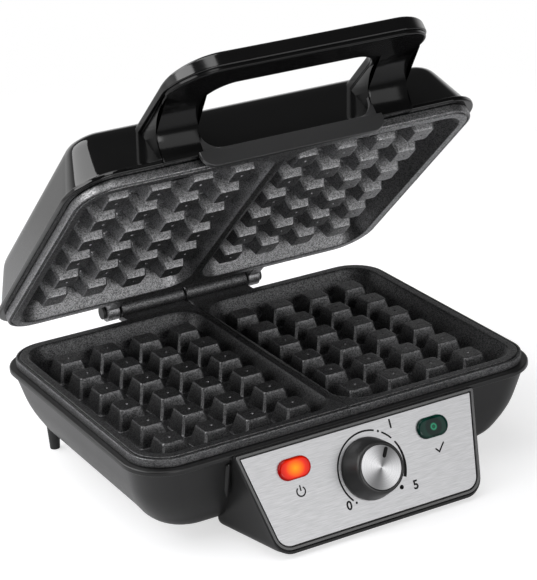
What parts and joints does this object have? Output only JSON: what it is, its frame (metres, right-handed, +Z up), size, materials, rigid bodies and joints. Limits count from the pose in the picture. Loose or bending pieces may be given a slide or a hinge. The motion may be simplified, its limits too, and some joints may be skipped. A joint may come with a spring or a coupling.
{
  "type": "waffle maker",
  "caption": "Black waffle maker with non-stick peg plates, a swinging lid with a loop handle, and a steel control panel with a browning knob and two lamps",
  "frame": {"origin": "on the table, under the middle of the box round the whole part with the lid as it stands in the picture", "axes": "+X to the user's right, +Y to the hinge at the back, +Z up from the pads"},
  "size_m": [0.2624, 0.2432, 0.2688],
  "materials": {
    "housing": "satin",
    "lid_gloss": "gloss",
    "nonstick": "satin non-stick coating with fine sparkle",
    "steel": "plain",
    "heater_sheath": "oxidised",
    "reflector": "bright sheet",
    "fuse_metal": "plain",
    "cover_plastic": "matt",
    "foot_plastic": "matt",
    "pad_rubber": "matt",
    "fascia_steel": "brushed side to side",
    "power_red": "translucent",
    "ready_green": "translucent",
    "lamp_glass": "clear",
    "stat_case": "moulded",
    "block_plastic": "plain",
    "gland_rubber": "matt",
    "knob_black": "satin",
    "cap_steel": "turned",
    "handle_black": "satin",
    "handle_under": "satin"
  },
  "bodies": {
    "base": {"base_housing": "housing", "lower_plate": "nonstick", "lower_plate_screws": "steel", "hinge_pin": "steel", "lower_heater": "heater_sheath", "lower_reflector": "reflector", "thermal_fuse": "fuse_metal", "bottom_cover": "cover_plastic", "bottom_cover_screws": "steel", "rear_foot_left": "foot_plastic", "rear_foot_right": "foot_plastic", "front_pad_left": "pad_rubber", "front_pad_right": "pad_rubber", "control_fascia": "fascia_steel", "power_lens": "power_red", "ready_lens": "ready_green", "power_lamp": "lamp_glass", "ready_lamp": "lamp_glass", "thermostat_body": "stat_case", "thermostat_nut": "steel", "terminal_block": "block_plastic", "cord_gland": "gland_rubber"},
    "knob": {"knob_skirt": "knob_black", "knob_cap": "cap_steel", "thermostat_shaft": "steel"},
    "lid": {"lid_shell": "lid_gloss", "upper_plate": "nonstick", "upper_plate_screws": "steel", "upper_heater": "heater_sheath", "upper_reflector": "reflector", "handle_upper": "handle_black", "handle_lower": "handle_under", "handle_screws": "steel"}
  },
  "joints": [
    {"name": "lid_hinge", "type": "hinge", "parent": "base", "child": "lid", "pos_m": [0, 0.1156, 0.064], "axis": [-1, 0, 0], "range_deg": [-42.7, 62]},
    {"name": "dial", "type": "hinge", "parent": "base", "child": "knob", "pos_m": [0, -0.10319, 0.03181], "axis": [0, -0.9018, 0.4321], "range_deg": [-110, 169]}
  ]
}
